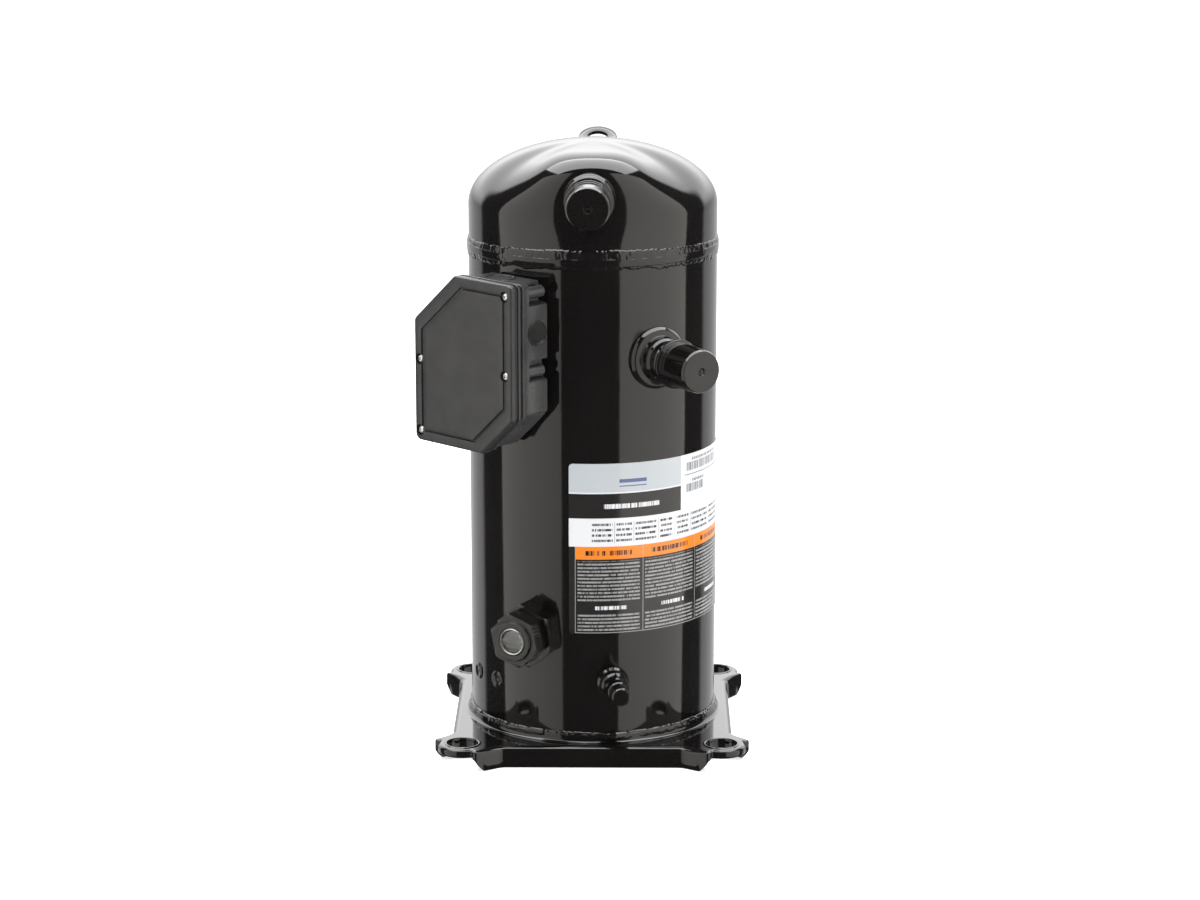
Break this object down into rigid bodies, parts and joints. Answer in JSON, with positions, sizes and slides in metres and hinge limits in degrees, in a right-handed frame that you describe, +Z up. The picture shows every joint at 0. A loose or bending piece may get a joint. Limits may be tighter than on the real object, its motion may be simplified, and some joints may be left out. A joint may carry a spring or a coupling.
{
  "type": "scroll compressor",
  "caption": "Upright hermetic scroll compressor: welded steel shell on a stamped base, capped suction and discharge stubs, terminal box, and the scroll set and motor inside.",
  "frame": {"origin": "centre of the footprint, on the surface that the base skirts stand on", "axes": "+Z up along the shell, -Y towards the discharge stub at the front, +X to the right seen from the front"},
  "size_m": [0.2472, 0.2556, 0.451],
  "materials": {
    "black_paint": "gloss",
    "black_plastic": "matte",
    "zinc_steel": "satin",
    "machined_steel": "satin",
    "grey_iron": "matte",
    "die_cast_aluminium": "satin",
    "bearing_bronze": "satin",
    "lacquered_copper": "satin",
    "rubber": "matte",
    "sight_glass": "gloss",
    "label_film": "satin"
  },
  "bodies": {
    "root": {"base_plate": "black_paint", "cover_gasket": "rubber", "discharge_fitting": "black_paint", "fixed_scroll": "grey_iron", "knockout_side": "black_plastic", "knockout_top": "black_plastic", "lifting_eye": "black_paint", "lower_bearing_bush": "bearing_bronze", "lower_bearing_housing": "grey_iron", "lower_shell_cap": "black_paint", "lower_winding": "lacquered_copper", "main_bearing_bush": "bearing_bronze", "main_bearing_housing": "grey_iron", "motor_lead_1": "rubber", "motor_lead_2": "rubber", "motor_lead_3": "rubber", "motor_protector": "rubber", "muffler_plate": "black_paint", "nameplate_label": "label_film", "oil_port_fitting": "black_paint", "scroll_bolt_1": "zinc_steel", "scroll_bolt_2": "zinc_steel", "scroll_bolt_3": "zinc_steel", "scroll_bolt_4": "zinc_steel", "shell_tube": "black_paint", "sight_glass_boss": "black_paint", "sight_glass_lens": "sight_glass", "sight_glass_nut": "black_paint", "stator": "machined_steel", "suction_fitting": "black_paint", "suction_screen": "zinc_steel", "terminal_fence": "black_paint", "terminal_housing": "black_plastic", "terminal_pin_1": "bearing_bronze", "terminal_pin_2": "bearing_bronze", "terminal_pin_3": "bearing_bronze", "terminal_plate": "zinc_steel", "top_cap": "black_paint", "upper_winding": "lacquered_copper", "valve_retainer": "machined_steel"},
    "crank": {"crankshaft": "machined_steel", "drive_bushing": "bearing_bronze", "upper_counterweight": "bearing_bronze", "rotor": "die_cast_aluminium", "lower_counterweight": "bearing_bronze", "oil_pickup": "machined_steel"},
    "orbiting_scroll": {"orbiting_scroll": "grey_iron"},
    "oldham_ring": {"oldham_ring": "die_cast_aluminium"},
    "floating_seal": {"floating_seal": "grey_iron"},
    "discharge_valve": {"discharge_valve_disc": "machined_steel"},
    "discharge_plug": {"discharge_plug": "black_paint"},
    "suction_plug": {"suction_plug": "black_paint"},
    "oil_port_cap": {"oil_port_cap": "black_paint"},
    "valve_core": {"valve_core_pin": "bearing_bronze"},
    "terminal_cover": {"terminal_cover": "black_plastic", "cover_screw_1": "zinc_steel", "cover_screw_2": "zinc_steel", "cover_screw_3": "zinc_steel", "cover_screw_4": "zinc_steel"}
  },
  "joints": [
    {"name": "crank_spin", "type": "hinge", "parent": "root", "child": "crank", "pos_m": [0.00613, 0.01035, 0.2], "axis": [0, 0, 1], "continuous": true},
    {"name": "scroll_orbit", "type": "hinge", "parent": "crank", "child": "orbiting_scroll", "pos_m": [0.01114, 0.01035, 0.29], "axis": [0, 0, 1], "continuous": true},
    {"name": "oldham_slide", "type": "slide", "parent": "root", "child": "oldham_ring", "axis": [1, 0, 0], "range_m": [-0.01, 0]},
    {"name": "floating_seal_lift", "type": "slide", "parent": "root", "child": "floating_seal", "axis": [0, 0, 1], "range_m": [0, 0.0015]},
    {"name": "discharge_valve_lift", "type": "slide", "parent": "root", "child": "discharge_valve", "axis": [0, 0, 1], "range_m": [0, 0.003]},
    {"name": "discharge_plug_pull", "type": "slide", "parent": "root", "child": "discharge_plug", "axis": [-0.0175, -0.9998, 0], "range_m": [0, 0.03]},
    {"name": "suction_plug_pull", "type": "slide", "parent": "root", "child": "suction_plug", "axis": [0.515, -0.8572, 0], "range_m": [0, 0.03]},
    {"name": "oil_port_cap_pull", "type": "slide", "parent": "root", "child": "oil_port_cap", "axis": [0.165, -0.9863, 0], "range_m": [0, 0.02]},
    {"name": "valve_core_press", "type": "slide", "parent": "root", "child": "valve_core", "axis": [-0.165, 0.9863, 0], "range_m": [0, 0.0015], "stiffness_N_per_m": 400},
    {"name": "terminal_cover_lift", "type": "slide", "parent": "root", "child": "terminal_cover", "axis": [-0.6947, -0.7193, 0], "range_m": [0, 0.05]}
  ],
  "couplings": [
    {"joint": "scroll_orbit", "follows": "crank_spin", "ratio": -1}
  ]
}
